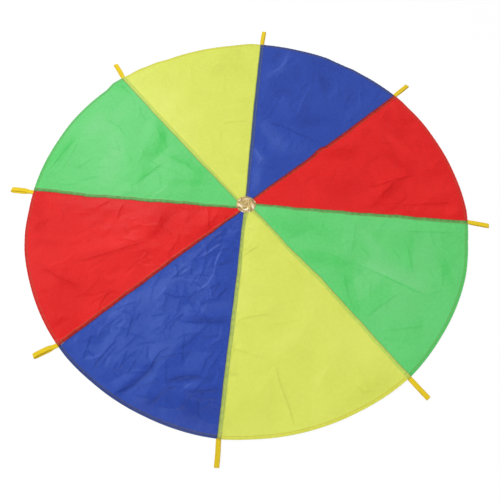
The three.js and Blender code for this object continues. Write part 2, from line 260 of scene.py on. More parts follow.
# The large ones: height in millimetres, below zero where the line is painted dark as shade and above zero
# where it is painted light as a highlight, how wide they are for their kind, and their points in millimetres
CREASES = [
    # Right red gore
    (-2, 1, [(530, 135), (600, 155), (690, 195), (800, 235)]),
    (-1.8, 2.2, [(700, 205), (650, 140), (600, 80)]),
    (-1.4, 2, [(620, 480), (650, 420), (705, 310)]),
    (-1.4, 1, [(865, 275), (915, 325)]),
    (-1.6, 1, [(690, 55), (800, 70), (965, 92)]),
    (-1.3, 1.5, [(535, 250), (600, 310), (625, 350)]),
    (-1.2, 1.5, [(400, 280), (520, 310)]),
    (-1, 1.5, [(560, 30), (600, 75)]),
    # Far right blue gore
    (-3.6, 1, [(45, 497), (150, 460), (300, 390), (335, 368)]),
    (2, 1.2, [(150, 960), (140, 880), (105, 830), (55, 795)]),
    (1.8, 1.2, [(200, 500), (225, 580), (245, 650), (290, 760)]),
    (1.6, 1, [(10, 330), (60, 260), (35, 220)]),
    (-1.2, 1.3, [(95, 290), (160, 245)]),
    (1.4, 2.2, [(525, 740), (530, 600)]),
    (1.2, 1, [(60, 700), (110, 640), (80, 570)]),
    (1.2, 1, [(120, 600), (165, 680)]),
    (-1.2, 2.2, [(330, 800), (350, 700)]),
    # Far yellow gore
    (-1.2, 1, [(-160, 445), (-130, 470), (-20, 488)]),
    (-0.7, 1.2, [(-160, 430), (-150, 345)]),
    (-0.7, 2.5, [(-365, 850), (-330, 700)]),
    # Far left green gore
    (-1.1, 1, [(-750, 458), (-665, 400), (-590, 318)]),
    (-1.1, 1, [(-680, 350), (-632, 262), (-695, 285)]),
    (-0.8, 1, [(-605, 255), (-555, 200)]),
    (-1.8, 1.2, [(-962, 90), (-900, 220), (-862, 310)]),
    (-1.3, 1.8, [(-885, 110), (-850, 250), (-838, 315)]),
    (-0.8, 1.2, [(-825, 135), (-740, 215)]),
    (-0.6, 1.2, [(-730, 165), (-712, 225)]),
    (-1.2, 1, [(-410, 258), (-300, 205), (-240, 152)]),
    (-0.8, 1, [(-510, 228), (-430, 190), (-305, 138)]),
    (-0.8, 0.9, [(-400, 215), (-505, 105), (-530, 60)]),
    (-0.6, 1.4, [(-470, 420), (-440, 330), (-460, 230)]),
    (-1, 2, [(-545, 85), (-525, 25)]),
    (-1, 1.2, [(-705, 665), (-640, 605)]),
    (0.7, 1, [(-300, 90), (-250, 70), (-200, 85)]),
    (-0.7, 1, [(-250, 125), (-190, 95)]),
    # Left red gore
    (-2, 1.8, [(-725, -342), (-600, -290), (-395, -200)]),
    (-1.6, 1, [(-672, -62), (-645, -35), (-612, -10)]),
    (-1.6, 1, [(-555, -18), (-570, -75), (-570, -122)]),
    (-1.2, 1, [(-545, -132), (-502, -182)]),
    (-1, 1, [(-825, -70), (-815, -150)]),
    (-2, 2.5, [(-875, -345), (-790, -400), (-655, -452)]),
    (-1.5, 1.6, [(-495, -360), (-420, -290), (-398, -248)]),
    (-1.6, 2.5, [(-372, -55), (-380, -120), (-295, -188)]),
    (-1, 1, [(-595, -388), (-532, -422)]),
    (-1.2, 1.2, [(-265, -162), (-205, -195)]),
    # Near left blue gore
    (3, 1.1, [(-72, -185), (-105, -290), (-110, -350), (-128, -392), (-188, -442)]),
    (2.2, 1, [(-175, -278), (-115, -220), (-72, -183)]),
    (2, 1, [(-188, -178), (-158, -235)]),
    (1.8, 1, [(-122, -398), (-104, -475)]),
    (2, 1, [(-168, -465), (-128, -525)]),
    (2, 1, [(-298, -415), (-342, -485)]),
    (-2, 1, [(-228, -308), (-292, -392)]),
    (2, 1, [(-198, -308), (-252, -362)]),
    (-2.6, 1.6, [(-12, -546), (-110, -562), (-245, -562)]),
    (-2.6, 1, [(-212, -526), (-248, -562)]),
    (-2.2, 2, [(-290, -535), (-352, -552)]),
    (-5.5, 1.4, [(-500, -900), (-435, -864), (-370, -830), (-320, -770), (-292, -700), (-238, -658)]),
    (-3.2, 1.1, [(-545, -792), (-528, -748), (-490, -690), (-462, -652)]),
    (-1.8, 1, [(-575, -632), (-588, -755)]),
    (-1.5, 1, [(-518, -600), (-502, -645)]),
    (-2.4, 1, [(-422, -550), (-432, -655)]),
    (-2.2, 1, [(-418, -695), (-438, -785)]),
    (-1.6, 1, [(-392, -535), (-408, -575)]),
    (-2, 1, [(-376, -725), (-402, -795)]),
    (-1.5, 1, [(-342, -665), (-334, -735)]),
    (-2.4, 1.8, [(-245, -802), (-170, -780), (-95, -780)]),
    (-2.4, 1.1, [(-175, -842), (-90, -830), (-25, -820)]),
    (-1.6, 1, [(-365, -868), (-295, -876)]),
    (-1.4, 1.2, [(-275, -905), (-195, -905)]),
    (-2, 1.2, [(-140, -622), (-48, -610)]),
    (-2, 1.2, [(-300, -722), (-180, -688)]),
    # Near yellow gore
    (-1.3, 1.1, [(-8, -541), (80, -516), (155, -500)]),
    (-0.8, 2.5, [(100, -562), (300, -512)]),
    (-1.2, 1.5, [(-8, -652), (80, -680), (158, -692)]),
    (-1.4, 1, [(168, -698), (200, -790), (240, -880), (266, -958)]),
    (-0.8, 1.2, [(498, -688), (548, -755)]),
    (-1, 2.4, [(475, -752), (520, -790), (585, -775)]),
    (-0.8, 2.5, [(165, -205), (285, -355)]),
    # Near right green gore
    (-1.8, 1, [(500, -248), (600, -290), (690, -330), (800, -382)]),
    (1.4, 1.3, [(395, -203), (485, -247)]),
    (-1.6, 1.6, [(445, -290), (462, -400), (502, -488)]),
    (-1, 1, [(500, -270), (548, -322)]),
    (-0.8, 1, [(615, -358), (658, -392)]),
    (-1.3, 1.1, [(685, -366), (600, -430), (532, -492)]),
    (-1.3, 1.5, [(722, -125), (730, -200), (742, -285)]),
    (-1.2, 1, [(695, -76), (800, -72), (960, -65)]),
    (-1.2, 1.2, [(508, -158), (565, -215)]),
    (-1, 1.2, [(648, -158), (692, -215)]),
    (-1.2, 1.3, [(480, -205), (502, -45)]),
    (-1, 1, [(435, -168), (472, -138)]),
    (-0.8, 1, [(345, -55), (368, -105)]),
    (-1.2, 2, [(872, -255), (858, -335)]),
    (-0.8, 1, [(562, -315), (555, -405)]),
    (-0.9, 1.3, [(595, -542), (805, -498)]),
    (-0.8, 1.2, [(800, -372), (865, -338)]),
    (-0.7, 1.2, [(900, -132), (972, -80)]),
]

# Folds that end in a crisp edge, painted into the colour as their light and shade: tone in tenths, above
# zero for painted light and below zero for painted shade, the two ends of the edge in millimetres, and how
# far the tone fades to the left of it in millimetres. They fade in over a share of it.
FOLD_EDGE = 4 * MM
FOLD_ENDS = (-0.1, 0.25)
FOLDS = [
    # Far left green gore
    (-3.5, (-480, 390), (-520, 230), 50),
    (-3.5, (-470, 195), (-385, 315), 45),
    (3, (-385, 315), (-470, 195), 60),
    (1.5, (-575, 210), (-750, 465), 90),
    (-4, (-970, 120), (-835, 335), 40),
    (-3, (-515, 45), (-455, 195), 70),
    # Near right green gore
    (-4, (515, -490), (475, -285), 80),
    (-3.5, (735, -275), (755, -85), 90),
    (-3, (510, -250), (410, -205), 70),
    (3.5, (510, -250), (805, -365), 60),
    (-3, (525, -500), (650, -370), 60),
    # Near left blue gore
    (-10, (-410, -865), (-295, -740), 24),
    (3, (-295, -740), (-410, -865), 40),
    (-6, (-205, -570), (-15, -545), 35),
    (-4, (-220, -810), (-115, -780), 30),
    # Left red gore
    (-4, (-400, -195), (-325, -85), 60),
    (3, (-600, -290), (-330, -190), 60),
]

# Broad patches of painted sheen and painted shade, where the laid cloth shows lighter or darker: tone in
# tenths, place, length and width in millimetres, and heading in degrees
PATCHES = [
    # Right red gore
    (-2.7, 680, 560, 120, 110, 0),
    (-2.7, 725, 470, 110, 80, 60),
    (3.6, 700, 405, 260, 45, -42),
    (-4.5, 690, 305, 180, 45, -45),
    (3.6, 880, 150, 200, 100, 10),
    (-5.4, 650, 115, 190, 45, 45),
    (-3.6, 425, 130, 150, 110, 30),
    (-5.4, 430, 325, 190, 70, 10),
    (3.6, 900, 45, 180, 40, 5),
    # Far right blue gore
    (5.5, 75, 435, 190, 75, -50),
    (3.5, 120, 350, 110, 90, -60),
    (6, 45, 275, 120, 40, -50),
    (6, 38, 165, 180, 45, 92),
    (2.5, 210, 340, 220, 120, -20),
    (-4, 300, 500, 250, 55, 3),
    (-3, 255, 565, 130, 65, 70),
    (-5, 345, 765, 150, 65, 100),
    (5, 138, 890, 150, 34, 75),
    (4, 95, 815, 140, 45, 40),
    (-3, 205, 825, 140, 50, 95),
    (-3, 320, 900, 280, 75, -25),
    (-2.5, 155, 685, 120, 70, 10),
    # Far yellow gore
    (-1.5, -150, 840, 260, 180, 90),
    (-1.2, -60, 560, 180, 100, 80),
    (1.5, -470, 570, 220, 160, 40),
    (1, -330, 470, 200, 110, 20),
    # Far left green gore
    (-4.5, -452, 395, 190, 50, 105),
    (-4.5, -440, 300, 170, 55, 80),
    (-3, -490, 225, 140, 60, 95),
    (-4, -330, 222, 200, 40, -25),
    (-5, -232, 140, 130, 55, 80),
    (-3.5, -310, 100, 160, 45, 8),
    (-3.5, -478, 140, 170, 36, 50),
    (3.5, -660, 165, 220, 110, 90),
    (2, -655, 320, 170, 70, 100),
    (3, -780, 400, 200, 75, 70),
    (-4, -892, 225, 210, 34, 75),
    (-4, -700, 662, 100, 60, -45),
    # Left red gore
    (2.5, -640, -260, 620, 320, 20),
    (1.5, -480, -112, 240, 100, 12),
    (2.5, -852, -130, 110, 90, 60),
    (-5, -350, -112, 160, 60, 70),
    (-4, -385, -182, 120, 45, 20),
    (3, -585, -232, 280, 55, 22),
    (-3, -560, -270, 300, 36, 22),
    (-4.5, -420, -272, 120, 45, 20),
    (-3, -850, -252, 170, 45, 5),
    (-3, -760, -415, 260, 36, -25),
    (-3, -550, -450, 120, 80, -40),
    (-2, -705, -575, 260, 170, -50),
    (-4, -932, -105, 200, 55, 95),
    # Near left blue gore
    (5.4, -340, -600, 720, 460, 56),
    (5, -240, -332, 180, 55, 45),
    (5, -350, -448, 190, 65, 45),
    (4, -470, -522, 160, 70, 45),
    (3, -505, -605, 150, 55, 70),
    (-3, -190, -470, 110, 75, 20),
    (-5, -120, -552, 260, 34, -3),
    (-5, -175, -788, 190, 36, 10),
    (-4, -100, -835, 190, 34, 8),
    (-3.5, -100, -905, 220, 110, 5),
    (-4, -245, -880, 170, 60, 5),
    (-7, -375, -828, 180, 30, 42),
    # Near yellow gore
    (-3, 540, -782, 200, 70, 30),
    (-1.5, 65, -900, 280, 100, 5),
    (1, 450, -600, 260, 190, -40),
    # Near right green gore
    (2, 660, -330, 620, 420, -25),
    (-3, 330, -112, 190, 110, -20),
    (-4.5, 360, -238, 200, 70, -10),
    (-3, 200, -102, 150, 55, -30),
    (3, 560, -135, 150, 50, -50),
    (1.5, 805, -150, 180, 100, 80),
    (-3.5, 885, -250, 170, 38, -75),
]

# The cloths by colour: their own look, the colours painted where it shows light or dark (painted sheen and
# highlight, painted shade), the look of the hem, and how much they shine
Look = namedtuple("Look", "cloth light dark hem shine")
LOOKS = {
    "red": Look(
        (0.68, 0.0135, 0.0135), (0.79, 0.026, 0.024), (0.56, 0.004, 0.004), (0.58, 0.02, 0.016), 0.12
    ),
    "blue": Look(
        (0.018, 0.055, 0.34), (0.042, 0.092, 0.405), (0.01, 0.036, 0.255), (0.025, 0.048, 0.2), 0.17
    ),
    "yellow": Look(
        (0.63, 0.69, 0.107), (0.74, 0.8, 0.2), (0.48, 0.54, 0.06), (0.62, 0.64, 0.075), 0.17
    ),
    "green": Look(
        (0.112, 0.57, 0.155), (0.195, 0.6, 0.235), (0.052, 0.51, 0.09), (0.09, 0.49, 0.115), 0.17
    ),
}
# The band over a seam, by the colour on top and the colour of the allowance that shows through: its colour,
# how dark the painted shade along the seam is, and how strongly the stitch tint (thread colour and painted
# shade) shows at its inner and outer edge
Band = namedtuple("Band", "look pressed inner outer")
BANDS = {
    ("green", "red"): Band((0.085, 0.26, 0.06), 0.3, 0.05, 0.25),
    ("red", "blue"): Band((0.29, 0.005, 0.007), 0.34, 0, 0.35),
    ("blue", "yellow"): Band((0.028, 0.075, 0.2), 0.45, 0, 0.12),
    ("yellow", "green"): Band((0.41, 0.61, 0.1), 0.08, 0.5, 0.08),
    ("yellow", "blue"): Band((0.29, 0.4, 0.095), 0.3, 0.12, 0.06),
}
# Colour of the stitch tint: the thread's colour, with painted shade where the stitches draw the cloth in
STITCH_LOOK = (0.4, 0.17, 0.045)


# Plan of the laid cloth


def smooth(value, low, high):
    """Eases from 0 at low to 1 at high, whichever of them is larger"""
    share = np.clip((np.asarray(value, float) - low) / (high - low), 0, 1)
    return share * share * (3 - 2 * share)


def grown(value, least, low, high):
    """Eases from least at low to 1 at high"""
    return least + (1 - least) * smooth(value, low, high)


def bell(value, width):
    """1 where the value is 0, falling off to both sides"""
    return np.exp(-((value / width) ** 2))


def seam_of(index):
    return SEAMS[index % COUNT]


def seam_angle(index):
    return math.radians(seam_of(index).azimuth + 360 * (index // COUNT))


def gore_middle(gore):
    return (seam_angle(gore) + seam_angle(gore + 1)) / 2


def band_gore(index):
    """The gore under which a seam's allowances are stitched down"""
    return (index - 1) % COUNT if seam_of(index).side < 0 else index % COUNT


def other_gore(index):
    """The gore whose cloth is outermost in a seam's folded allowances"""
    return index % COUNT if seam_of(index).side < 0 else (index - 1) % COUNT


def turned(offsets, angle):
    """Flat offsets, measured along and across a direction"""
    along = offsets[:, 0] * math.cos(angle) + offsets[:, 1] * math.sin(angle)
    across = offsets[:, 1] * math.cos(angle) - offsets[:, 0] * math.sin(angle)
    return along, across


def seam_points(index, along, across):
    """Flat points by their distance along a seam and counter-clockwise of it"""
    angle = seam_angle(index)
    along, across = np.broadcast_arrays(along, across)
    x = along * math.cos(angle) - across * math.sin(angle)
    y = along * math.sin(angle) + across * math.cos(angle)
    return np.stack([x, y], axis=-1)


def rim_points(angles, depth):
    radius = CANOPY_RADIUS - depth
    return np.stack([radius * np.cos(angles), radius * np.sin(angles)], axis=-1)


def seam_shift(index, radius):
    """How far a sewn line lies counter-clockwise of its true line. Under the cap the lines meet."""
    seam = seam_of(index)
    share = radius / CANOPY_RADIUS
    shift = MM * np.interp(share, STATIONS, seam.shifts)
    if index % COUNT == KINK_SEAM:
        shift = shift + KINK * bell(share - KINK_PLACE, np.where(share < KINK_PLACE, KINK_RISE, KINK_DROP))
    for most, pace in SEAM_WAVERS:
        wave = np.sin(pace * (share + 2 * (index % COUNT)))
        shift = shift + seam.waver * most * MM * smooth(share, *WAVER_FADE) * wave
    return shift * smooth(radius, *UNDER_CAP)


def polar(flat, gore):
    """Radius, angle, share of the way across the gore, and distance to its first and last seam"""
    first, last = seam_angle(gore), seam_angle(gore + 1)
    middle = gore_middle(gore)
    radius = np.hypot(flat[:, 0], flat[:, 1])
    turn = np.arctan2(flat[:, 1], flat[:, 0]) - middle
    angle = middle + np.mod(turn + math.pi, 2 * math.pi) - math.pi
    share = (angle - first) / (last - first)
    return radius, angle, share, radius * np.sin(angle - first), radius * np.sin(last - angle)


def laid_plan(flat, gore):
    """Where flat points of a gore lie on the floor"""
    radius, angle, share, _, _ = polar(flat, gore)
    sideways = (1 - share) * seam_shift(gore, radius) + share * seam_shift(gore + 1, radius)
    outset = np.interp(np.degrees(angle) % 360, *zip(*RIM), period=360) * MM
    radius = radius + outset * smooth(radius, *RIM_REACH)
    x = radius * np.cos(angle) - sideways * np.sin(angle)
    y = radius * np.sin(angle) + sideways * np.cos(angle)
    return np.stack([x, y], axis=-1)


# Relief and tones of the laid cloth


def facet_surface(spacing, seed):
    """A surface of flat facets between scattered points, from 0 to 1 high"""
    chance = random.Random(seed)
    scatter = 0.35
    steps = int(1.2 * CANOPY_RADIUS / spacing)
    points = []
    for i in range(-steps, steps + 1):
        for j in range(-steps, steps + 1):
            x = (i + 0.5 * (j % 2) + chance.uniform(-scatter, scatter)) * spacing
            y = (j + chance.uniform(-scatter, scatter)) * spacing
            points.append((x, y, chance.random()))
    faces = delaunay_2d_cdt([Vector(p[:2]) for p in points], [], [], 0, 1e-6)[2]
    return BVHTree.FromPolygons(points, faces)


COARSE_FACETS = facet_surface(95 * MM, 11)
FINE_FACETS = facet_surface(42 * MM, 23)


def sampled(surface, plan):
    """Height of a facet surface at plan points, and how much its facets lean to the light there"""
    down = Vector((0, 0, -1))
    heights, leans = [], []
    for x, y in plan:
        place, normal, _, _ = surface.ray_cast(Vector((x, y, 2)), down)
        heights.append(place.z)
        leans.append((normal.x * LIGHT_FROM[0] + normal.y * LIGHT_FROM[1]) / normal.z)
    return np.array(heights), np.array(leans)


def small_creases():
    """Seeded small creases of every gore, written as the large ones are"""
    chance = random.Random(77)
    found = []
    for index, gore in enumerate(GORES):
        for _ in range(gore.creases):
            turn = chance.uniform(seam_angle(index), seam_angle(index + 1))
            out = CANOPY_RADIUS / MM * math.sqrt(chance.uniform(0.02, 0.95))
            points = [np.array([out * math.cos(turn), out * math.sin(turn)])]
            heading = math.radians(chance.gauss(gore.direction, 35))
            step = chance.uniform(0.25, 1.0) * gore.longest / CREASE_STEPS
            for _ in range(CREASE_STEPS):
                points.append(points[-1] + step * np.array([math.cos(heading), math.sin(heading)]))
                heading += chance.gauss(0, 0.35)
            # Most small creases get a line of painted shade, the rest a line of painted highlight
            tone = -1 if chance.random() < 0.85 else 1
            rise = gore.rise * chance.uniform(0.3, 1.0)
            found.append((tone * rise, chance.uniform(0.45, 1.3), points))
    return found


ALL_CREASES = CREASES + small_creases()


def crease_place(plan, points):
    """Distance from a crease, whether it is on the lit side, and the share of the way along"""
    runs = np.diff(points, axis=0)
    lengths = np.hypot(runs[:, 0], runs[:, 1])
    distance = np.full(len(plan), math.inf)
    lit = np.zeros(len(plan), bool)
    place = np.zeros(len(plan))
    done = 0.0
    for start, run, length in zip(points, runs, lengths):
        reach = plan - start
        along = np.clip(reach @ run / length**2, 0, 1)
        away = np.linalg.norm(reach - along[:, None] * run, axis=1)
        closer = away < distance
        left = run[0] * reach[:, 1] - run[1] * reach[:, 0] > 0
        left_is_lit = run[0] * LIGHT_FROM[1] - run[1] * LIGHT_FROM[0] > 0
        distance = np.where(closer, away, distance)
        lit = np.where(closer, left == left_is_lit, lit)
        place = np.where(closer, (done + along * length) / lengths.sum(), place)
        done += length
    return distance, lit, place


def crease_heights(plan):
    """Height of the creases at plan points, and how strongly a crease's line of painted highlight (above
    zero) or painted shade (below zero) shows there
    """
    height = np.zeros(len(plan))
    line = np.zeros(len(plan))
    for rise, width, points in ALL_CREASES:
        points = np.array(points) * MM
        room = CREASE_GENTLE * width
        inside = (plan > points.min(axis=0) - room) & (plan < points.max(axis=0) + room)
        near = np.nonzero(inside.all(axis=1))[0]
        if not len(near):
            continue
        distance, lit, place = crease_place(plan[near], points)
        taper = smooth(place, 0, CREASE_TAPER) * smooth(1 - place, 0, CREASE_TAPER)
        reach = np.where(lit == (rise > 0), CREASE_STEEP, CREASE_GENTLE) * width
        height[near] += abs(rise) * MM * taper * np.clip(1 - distance / reach, 0, 1) ** 2
        # The crease's line of painted shade or painted highlight; the strongest one is kept
        strength = min(LINE_MOST, abs(rise) / LINE_HEIGHT) * taper * bell(distance, LINE_WIDTH)
        line[near] = np.where(strength > np.abs(line[near]), np.sign(rise) * strength, line[near])
    return height, line


def patch_tones(plan):
    """How far the broad patches of painted sheen and painted shade turn the cloth to its light or dark colour
    """
    total = np.zeros(len(plan))
    for tone, x, y, length, width, heading in PATCHES:
        along, across = turned(plan - np.array([x, y]) * MM, math.radians(heading))
        spread = (2 * along / (length * MM)) ** 2 + (2 * across / (width * MM)) ** 2
        total += tone / 10 * np.exp(-(spread**1.5))
    return total


def fold_tones(plan):
    """How far the painted light and shade of the folds turn the cloth to its light or dark colour"""
    total = np.zeros(len(plan))
    for tone, start, end, fade in FOLDS:
        start, end = np.array(start) * MM, np.array(end) * MM
        run_x, run_y = end - start
        along, left = turned(plan - start, math.atan2(run_y, run_x))
        share = along / math.hypot(run_x, run_y)
        side = bell(left, np.where(left > 0, fade * MM, FOLD_EDGE))
        total += tone / 10 * side * smooth(np.minimum(share, 1 - share), *FOLD_ENDS)
    return total


def ripples(plan):
    """Seeded thin ridges, from 0 to 1 high"""
    waves = [noise.noise(Vector((x * RIPPLE_SCALE, y * RIPPLE_SCALE, 3.1))) for x, y in plan]
    return (1 - np.abs(waves)) ** 3


def band_width(radius):
    return SEAM_BAND * grown(radius, *BAND_WIDENS)


def band_tone(distance, radius, index):
    """How strongly the band shows: unevenly, and less along its middle, where it is a layer thinner"""
    width = band_width(radius)
    start = 7 * (index % COUNT)
    uneven = np.sin(radius * 131 + start) * np.sin(radius * 57 + start)
    uneven = uneven + 0.7 * np.sin(radius * 223 + 3 * start)
    thinner = 0.22 * bell(distance / width - 0.55, 0.22)
    outer = smooth(distance, width + 1.5 * MM, width - (2.5 + uneven) * MM)
    tone = smooth(distance, 0, EDGE_SOFTNESS) * outer * (0.92 + 0.18 * uneven) * (1 - thinner)
    return np.clip(tone, 0, 1)


def puckers(gore, radius, angle, to_first, to_last):
    """Height of the small waves along the seams, along the hem and around the hub"""
    height, wave, fade = SEAM_PUCKER
    total = np.zeros(len(radius))
    for index, distance in ((gore, to_first), (gore + 1, to_last)):
        waves = np.sin(radius * 2 * math.pi / wave + 5 * np.sin(radius * 23 + index % COUNT))
        total += height * waves * np.exp(-np.abs(distance) / fade) * smooth(radius, *PUCKER_START)
    height, wave, fade = HEM_PUCKER
    waves = np.sin(angle * CANOPY_RADIUS * 2 * math.pi / wave + 4 * np.sin(angle * 19))
    total += height * waves * np.exp(-(CANOPY_RADIUS - radius) / fade)
    waves = np.sin(angle * 31 + 2 * np.sin(angle * 7))
    return total + HUB_GATHER * waves * np.exp(-radius / HUB_GATHER_FADE) * smooth(radius, *UNDER_CAP)


def lifted(gore, radius, to_first, to_last):
    """How far the cloth is lifted by the folded allowances and the handle tails under it"""
    width = band_width(radius)
    in_hem = smooth(CANOPY_RADIUS - radius, TAIL_LENGTH + 12 * MM, TAIL_LENGTH)
    bands, tails = np.zeros(len(radius)), np.zeros(len(radius))
    for index, across in ((gore, to_first), (gore + 1, to_last)):
        if band_gore(index) == gore:
            band = smooth(across, 0, EDGE_SOFTNESS) * smooth(across, width + EDGE_SOFTNESS, width)
            tail = smooth(across, -4 * MM, 2 * MM) * smooth(across, WEB_WIDTH + 9 * MM, WEB_WIDTH)
            bands = np.maximum(bands, band)
            tails += in_hem * tail
    return BAND_LIFT * bands + TAIL_LIFT * tails


def cloth_surface(flat, gore, sink=0.0):
    """Laid points of a gore's upper side, lowered by sink, and the painted light and shade of its creases and
    facets there
    """
    radius, angle, _, to_first, to_last = polar(flat, gore)
    plan = laid_plan(flat, gore)
    depth = CANOPY_RADIUS - radius
    to_seam = np.minimum(to_first, to_last)
    middles = [math.degrees(gore_middle(g)) for g in range(COUNT)]
    facets = np.interp(np.degrees(angle) % 360, middles, [g.facets for g in GORES], period=360) * MM
    crease, line = crease_heights(plan)
    coarse, lean = sampled(COARSE_FACETS, plan)
    fine, _ = sampled(FINE_FACETS, plan)
    relief = facets * (COARSE_SHARE * coarse + FINE_SHARE * fine + RIPPLE_SHARE * ripples(plan))
    relief = RELIEF_MOST * np.tanh((relief + crease) / RELIEF_MOST)
    relief *= grown(to_seam, *SEAM_CALM) * grown(depth, *RIM_CALM) * grown(radius, *HUB_CALM)
    # Painted light and shade: facets that lean to the light are painted lighter, those that lean away darker
    line = line + FACET_PAINTED_LIGHT * facets * lean
    line = line * smooth(to_seam, *LINES_FROM_SEAM) * smooth(depth, *LINES_FROM_RIM)
    height = CLOTH_TOP + relief + puckers(gore, radius, angle, to_first, to_last)
    height += lifted(gore, radius, to_first, to_last) - sink
    return np.column_stack([plan, height]), line


# Meshes


def new_piece(name, points, faces, material, attributes=None):
    mesh = bpy.data.meshes.new(name)
    mesh.from_pydata([tuple(p) for p in points], [], [tuple(f) for f in faces])
    mesh.update()
    mesh.shade_smooth()
    for label, values in (attributes or {}).items():
        values = np.asarray(values, np.float32)
        kind, key = ("FLOAT_VECTOR", "vector") if values.ndim == 2 else ("FLOAT", "value")
        mesh.attributes.new(label, kind, "POINT").data.foreach_set(key, values.ravel())
    mesh.materials.append(material)
    piece = bpy.data.objects.new(name, mesh)
    bpy.context.scene.collection.objects.link(piece)
    return piece


def thicken(piece, thickness):
    """Gives a sheet its thickness, below the modelled side"""
    solidify = piece.modifiers.new("thickness", "SOLIDIFY")
    solidify.thickness = thickness
    solidify.offset = -1
    return piece


def grid_faces(rows, columns, closed=False):
    faces = []
    for i in range(rows - 1):
        for j in range(columns if closed else columns - 1):
            k = (j + 1) % columns
            low, high = i * columns, (i + 1) * columns
            faces.append((low + j, low + k, high + k, high + j))
    return faces


def weave_place(flat, gore):
    """Cloth coordinates along and across a gore, which stay with the cloth when it bends"""
    along, across = turned(flat, gore_middle(gore))
    return np.column_stack([along, across, np.zeros(len(flat))])


def steps_between(low, high, spacing):
    return np.linspace(low, high, max(2, round((high - low) / spacing) + 1))


def gore_turns(gore, radius):
    """Angles across a gore, an edge step apart at a radius"""
    return steps_between(seam_angle(gore), seam_angle(gore + 1), EDGE / radius)


def gore_edge(gore):
    """The flat outline of a gore: out along a seam, around the rim, back along a seam and around the hub"""
    out = steps_between(HUB_HOLE, CANOPY_RADIUS, EDGE)
    stretches = [
        seam_points(gore, out, 0),
        rim_points(gore_turns(gore, CANOPY_RADIUS), 0),
        seam_points(gore + 1, out, 0)[::-1],
        rim_points(gore_turns(gore, HUB_HOLE), CANOPY_RADIUS - HUB_HOLE)[::-1],
    ]
    return np.concatenate([stretch[:-1] for stretch in stretches])


def seam_rows(gore):
    """Rows of flat points along the two seams of a gore"""
    out = steps_between(HUB_HOLE, CANOPY_RADIUS, EDGE)
    for index, inward in ((gore, 1), (gore + 1, -1)):
        distances = BAND_ROWS if band_gore(index) == gore else PLAIN_ROWS
        if index % COUNT in FOLD_SEAMS:
            distances = FOLD_ROWS
        for distance in distances:
            yield seam_points(index, out, inward * distance * MM)


def crease_rows(gore):
    """Rows of points along the creases on and beside a gore, taken from the floor back to the flat cloth"""
    for _, width, points in ALL_CREASES:
        points = np.array(points) * MM
        middle = points[len(points) // 2]
        if abs(polar(middle[None], gore)[2][0] - 0.5) > 0.9:
            continue
        for start, end in zip(points[:-1], points[1:]):
            length = np.linalg.norm(end - start)
            laid = start + steps_between(0, 1, EDGE / length)[:, None] * (end - start)
            across = np.array([start[1] - end[1], end[0] - start[0]]) / length
            for offset in CREASE_ROWS if width >= 1 else CREASE_ROWS[:3]:
                flat = laid + offset * MM * across
                yield 2 * flat - laid_plan(flat, gore)


def fill_points():
    """An even field of points over the whole canopy"""
    reach = int(CANOPY_RADIUS / FILL) + 2
    columns, lines = np.meshgrid(np.arange(-reach, reach), np.arange(-reach, reach))
    x = (columns + 0.5 * (lines % 2)) * FILL
    y = lines * FILL * math.sqrt(0.75)
    return np.column_stack([x.ravel(), y.ravel()])


def thinned(rows):
    """The rows' points in turn, without those that come closer than their row allows to one already kept"""
    cell = FILL
    around = [(i, j) for i in (-1, 0, 1) for j in (-1, 0, 1)]
    kept, cells = [], {}
    for points, room in rows:
        for x, y in points:
            home = (math.floor(x / cell), math.floor(y / cell))
            near = [cells.get((home[0] + i, home[1] + j), ()) for i, j in around]
            if any((x - a) ** 2 + (y - b) ** 2 < room**2 for group in near for a, b in group):
                continue
            kept.append((x, y))
            cells.setdefault(home, []).append((x, y))
    return kept


def gore_mesh(gore):
    """Flat points and triangles of a gore"""

    def inside(points, margin):
        radius, _, _, to_first, to_last = polar(points, gore)
        clear = np.minimum.reduce([to_first, to_last, CANOPY_RADIUS - radius, radius - HUB_HOLE])
        return points[clear > margin]

    # Each row, cut to a margin within the gore, and the room its points keep to those before them
    edge = gore_edge(gore)
    rows = [(edge, 0.0)]
    rows += [(inside(row, 1 * MM), 1.1 * MM) for row in seam_rows(gore)]
    turns = gore_turns(gore, CANOPY_RADIUS)
    rows += [(inside(rim_points(turns, depth * MM), 0.9 * MM), 0.95 * MM) for depth in HEM_ROWS]
    rows += [(inside(row, 20 * MM), 2 * MM) for row in crease_rows(gore)]
    rows.append((inside(fill_points(), 2 * MM), 0.55 * FILL))
    loop = [(i, (i + 1) % len(edge)) for i in range(len(edge))]
    found = delaunay_2d_cdt([Vector(p) for p in thinned(rows)], loop, [], 1, 1e-7)
    return np.array([tuple(p) for p in found[0]]), found[2]


def capsule(start, end, width):
    """Ten corners of a bit of thread from start to end, which dips in at both ends"""
    up = np.array([0.0, 0.0, 1.0])
    run = end - start
    across = np.cross(up, run)
    across = across / np.linalg.norm(across) * width / 2
    lift = up * THREAD_HEIGHT / 2
    corners = [start - lift]
    for share in (0.22, 0.78):
        middle = start + share * run + 0.6 * lift
        corners += [middle + across, middle + lift, middle - across, middle - lift]
    return corners + [end - lift]


CAPSULE_FACES = (
    [(0, 1 + (i + 1) % 4, 1 + i) for i in range(4)]
    + [(1 + i, 1 + (i + 1) % 4, 5 + (i + 1) % 4, 5 + i) for i in range(4)]
    + [(9, 5 + i, 5 + (i + 1) % 4) for i in range(4)]
)


# Materials


def opaque(colour):
    return (*colour, 1.0)


